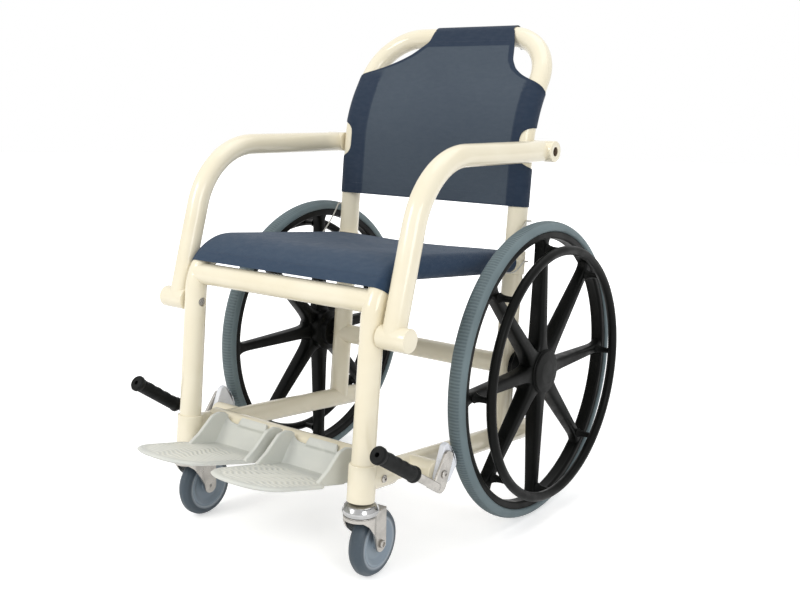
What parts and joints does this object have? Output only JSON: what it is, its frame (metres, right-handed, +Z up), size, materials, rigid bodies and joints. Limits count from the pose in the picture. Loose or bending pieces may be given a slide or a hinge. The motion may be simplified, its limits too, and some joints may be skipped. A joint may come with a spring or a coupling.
{
  "type": "pool wheelchair",
  "caption": "Tubular plastic pool wheelchair with cloth seat and back, push wheels with handrims, swivel casters, flip-up footrests and armrests, and tyre brakes.",
  "frame": {"origin": "middle of the chair's length and width, on the floor", "axes": "+Z up, +Y towards the back, +X towards the sitter's left"},
  "size_m": [0.7064, 0.976, 1.0029],
  "materials": {
    "frame_plastic": "semi-gloss pipe",
    "seat_fabric": "open weave mesh",
    "tyre_grey": "matt, cross-ribbed",
    "wheel_black": "satin",
    "stainless": "brushed",
    "chrome": "polished",
    "caster_tyre": "satin",
    "caster_hub": "satin",
    "foot_grey": "moulded, wavy tread",
    "grip_black": "matt",
    "shoe_white": "satin",
    "cord_grey": "braided"
  },
  "bodies": {
    "frame": {"back_hoop": "frame_plastic", "seat_crossbar": "frame_plastic", "rear_cross_tube": "frame_plastic", "footrest_tube": "frame_plastic", "seat_sling": "seat_fabric", "back_sling": "seat_fabric", "hem_screw": "stainless", "rear_axle": "stainless", "front_post_rail_L": "frame_plastic", "front_fitting_L": "frame_plastic", "lower_rail_L": "frame_plastic", "brake_stub_L": "frame_plastic", "cord_L": "cord_grey", "cord_eyelet_upper_L": "stainless", "cord_eyelet_lower_L": "stainless", "rail_bolt_L": "stainless", "armrest_bolt_L": "stainless", "brake_pivot_bolt_L": "stainless", "front_post_rail_R": "frame_plastic", "front_fitting_R": "frame_plastic", "lower_rail_R": "frame_plastic", "brake_stub_R": "frame_plastic", "cord_R": "cord_grey", "cord_eyelet_upper_R": "stainless", "cord_eyelet_lower_R": "stainless", "rail_bolt_R": "stainless", "armrest_bolt_R": "stainless", "brake_pivot_bolt_R": "stainless"},
    "armrest_L": {"armrest_stub_L": "frame_plastic", "armrest_tube_L": "frame_plastic", "armrest_rear_stub_L": "frame_plastic"},
    "wheel_L": {"rear_tyre_L": "tyre_grey", "rear_wheel_L": "wheel_black", "handrim_L": "wheel_black", "hub_cap_L": "wheel_black"},
    "caster_L": {"caster_bearing_cap_L": "chrome", "caster_fork_L": "stainless", "caster_axle_bolt_L": "stainless"},
    "caster_wheel_L": {"caster_tyre_L": "caster_tyre", "caster_hub_L": "caster_hub"},
    "footrest_L": {"footrest_L": "foot_grey"},
    "brake_L": {"brake_shoe_L": "shoe_white", "brake_lever_L": "stainless", "brake_grip_L": "grip_black"},
    "armrest_R": {"armrest_stub_R": "frame_plastic", "armrest_tube_R": "frame_plastic", "armrest_rear_stub_R": "frame_plastic"},
    "wheel_R": {"rear_tyre_R": "tyre_grey", "rear_wheel_R": "wheel_black", "handrim_R": "wheel_black", "hub_cap_R": "wheel_black"},
    "caster_R": {"caster_bearing_cap_R": "chrome", "caster_fork_R": "stainless", "caster_axle_bolt_R": "stainless"},
    "caster_wheel_R": {"caster_tyre_R": "caster_tyre", "caster_hub_R": "caster_hub"},
    "footrest_R": {"footrest_R": "foot_grey"},
    "brake_R": {"brake_shoe_R": "shoe_white", "brake_lever_R": "stainless", "brake_grip_R": "grip_black"}
  },
  "joints": [
    {"name": "armrest_hinge_L", "type": "hinge", "parent": "frame", "child": "armrest_L", "pos_m": [0.2685, -0.26655, 0.44692], "axis": [1, 0, 0], "range_deg": [0, 110]},
    {"name": "wheel_spin_L", "type": "hinge", "parent": "frame", "child": "wheel_L", "pos_m": [0.296, 0.18297, 0.305], "axis": [1, 0, 0], "continuous": true},
    {"name": "caster_swivel_L", "type": "hinge", "parent": "frame", "child": "caster_L", "pos_m": [0.222, -0.29183, 0.0625], "axis": [0, 0, 1], "continuous": true},
    {"name": "caster_roll_L", "type": "hinge", "parent": "caster_L", "child": "caster_wheel_L", "pos_m": [0.2193, -0.25322, 0.0625], "axis": [0.9976, 0.0698, 0], "continuous": true},
    {"name": "footrest_hinge_L", "type": "hinge", "parent": "frame", "child": "footrest_L", "pos_m": [0.09, -0.22203, 0.1966], "axis": [-1, 0, 0], "range_deg": [0, 100]},
    {"name": "brake_hinge_L", "type": "hinge", "parent": "frame", "child": "brake_L", "pos_m": [0.29, -0.15447, 0.18042], "axis": [-1, 0, 0], "range_deg": [0, 30]},
    {"name": "armrest_hinge_R", "type": "hinge", "parent": "frame", "child": "armrest_R", "pos_m": [-0.2685, -0.26655, 0.44692], "axis": [1, 0, 0], "range_deg": [0, 110]},
    {"name": "wheel_spin_R", "type": "hinge", "parent": "frame", "child": "wheel_R", "pos_m": [-0.296, 0.18297, 0.305], "axis": [1, 0, 0], "continuous": true},
    {"name": "caster_swivel_R", "type": "hinge", "parent": "frame", "child": "caster_R", "pos_m": [-0.222, -0.29183, 0.0625], "axis": [0, 0, 1], "continuous": true},
    {"name": "caster_roll_R", "type": "hinge", "parent": "caster_R", "child": "caster_wheel_R", "pos_m": [-0.22268, -0.25313, 0.0625], "axis": [0.9998, 0.0175, 0], "continuous": true},
    {"name": "footrest_hinge_R", "type": "hinge", "parent": "frame", "child": "footrest_R", "pos_m": [-0.09, -0.22203, 0.1966], "axis": [-1, 0, 0], "range_deg": [0, 100]},
    {"name": "brake_hinge_R", "type": "hinge", "parent": "frame", "child": "brake_R", "pos_m": [-0.29, -0.15447, 0.18042], "axis": [-1, 0, 0], "range_deg": [0, 27.5]}
  ]
}
